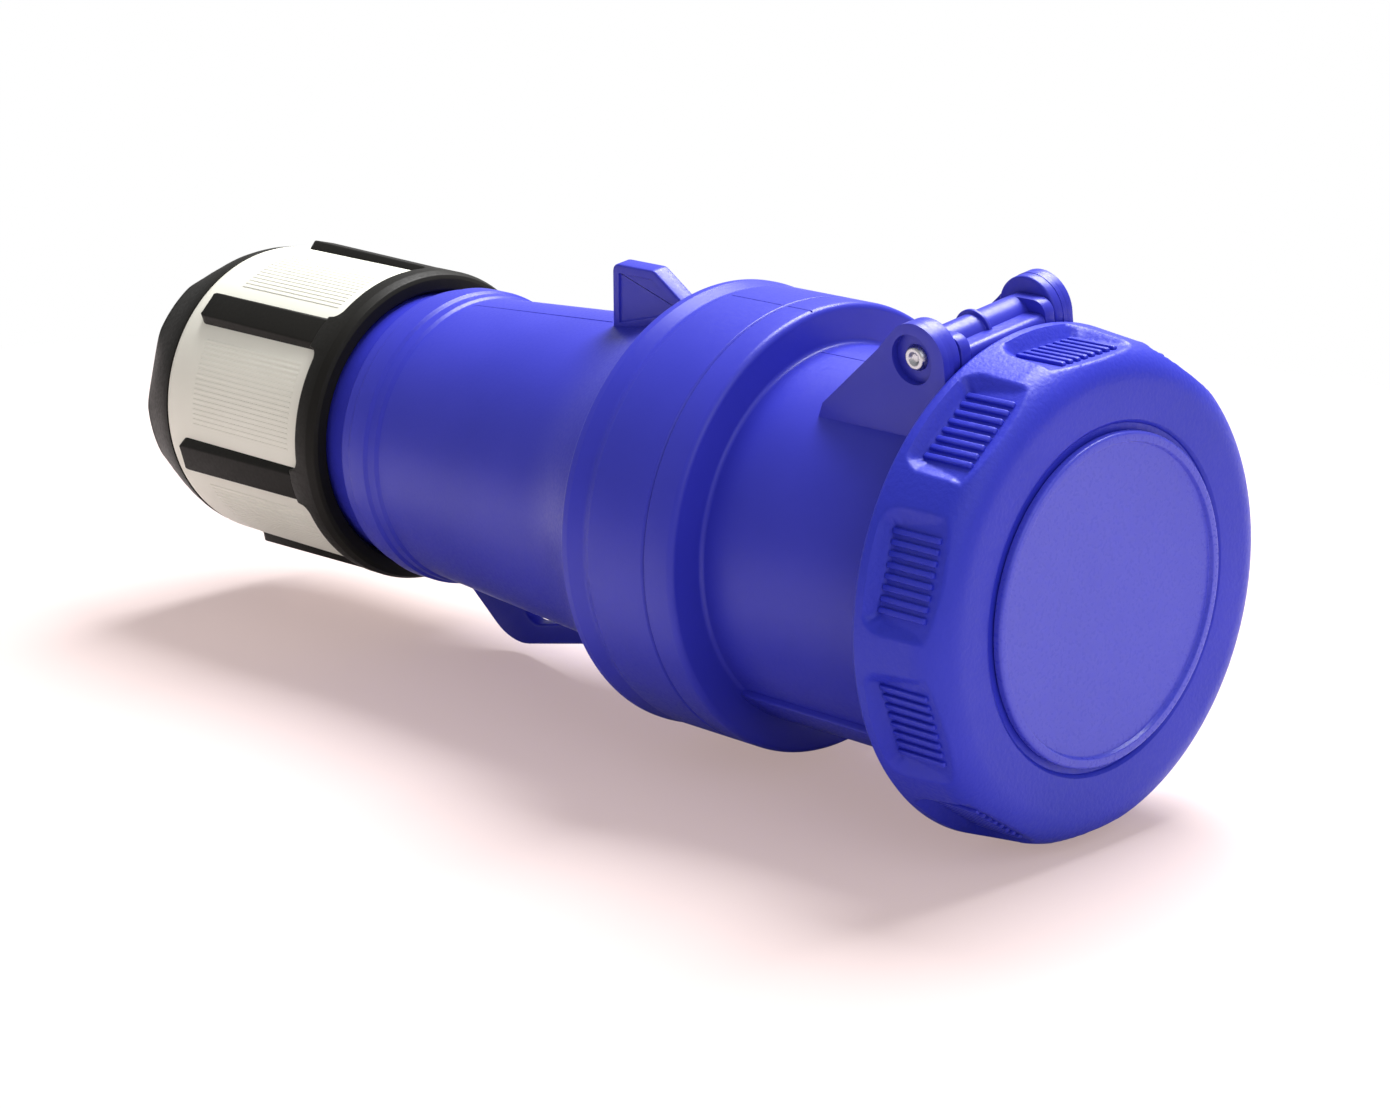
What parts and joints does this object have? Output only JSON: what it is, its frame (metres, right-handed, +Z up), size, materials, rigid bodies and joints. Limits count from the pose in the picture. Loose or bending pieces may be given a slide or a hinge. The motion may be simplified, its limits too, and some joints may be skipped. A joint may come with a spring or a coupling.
{
  "type": "industrial cable coupler",
  "caption": "Heavy round cable socket with a screwed cable gland and a sprung watertight lid locked by a bayonet ring.",
  "frame": {"origin": "centre of the cable's mouth, on the coupler's axis at its back end", "axes": "+X along the axis towards the lid, +Z up through the hinge, +Y to the left when looking along +X"},
  "size_m": [0.2976, 0.112, 0.1187],
  "materials": {
    "housing_plastic": "satin moulded plastic, fine texture, deep violet blue",
    "lid_plastic": "smooth moulded plastic, lighter blue",
    "grip_rubber": "soft black moulding, matt",
    "shell_plastic": "pale grey moulded plastic",
    "carrier_plastic": "grey moulded plastic",
    "cage_plastic": "black moulded plastic",
    "seal_rubber": "black rubber",
    "contact_brass": "turned brass",
    "steel": "bright steel"
  },
  "bodies": {
    "housing": {"rear_housing": "housing_plastic", "front_housing": "housing_plastic", "housing_seal": "seal_rubber", "contact_carrier": "carrier_plastic", "retaining_plate": "carrier_plastic", "contact_line": "contact_brass", "contact_neutral": "contact_brass", "contact_earth": "contact_brass", "contact_pilot": "contact_brass", "contact_clips": "steel", "terminal_screws": "steel", "carrier_screws": "steel", "hinge_pin": "steel", "clamping_cage": "cage_plastic", "cable_seal": "seal_rubber"},
    "lid": {"lid_cap": "housing_plastic", "lid_disc": "lid_plastic", "lid_seal": "seal_rubber", "lid_spring": "steel"},
    "ring": {"bayonet_ring": "housing_plastic"},
    "nut": {"gland_nut": "shell_plastic", "nut_grip": "grip_rubber", "nut_end_cap": "grip_rubber"}
  },
  "joints": [
    {"name": "lid_hinge", "type": "hinge", "parent": "housing", "child": "lid", "pos_m": [0.265, 0, 0.0547], "axis": [0, -1, 0], "range_deg": [0, 125]},
    {"name": "ring_turn", "type": "hinge", "parent": "lid", "child": "ring", "pos_m": [0.292, 0, 0], "axis": [-1, 0, 0], "range_deg": [0, 35]},
    {"name": "nut_turn", "type": "hinge", "parent": "housing", "child": "nut", "pos_m": [0.04, 0, 0], "axis": [1, 0, 0], "range_deg": [-360, 0]}
  ]
}
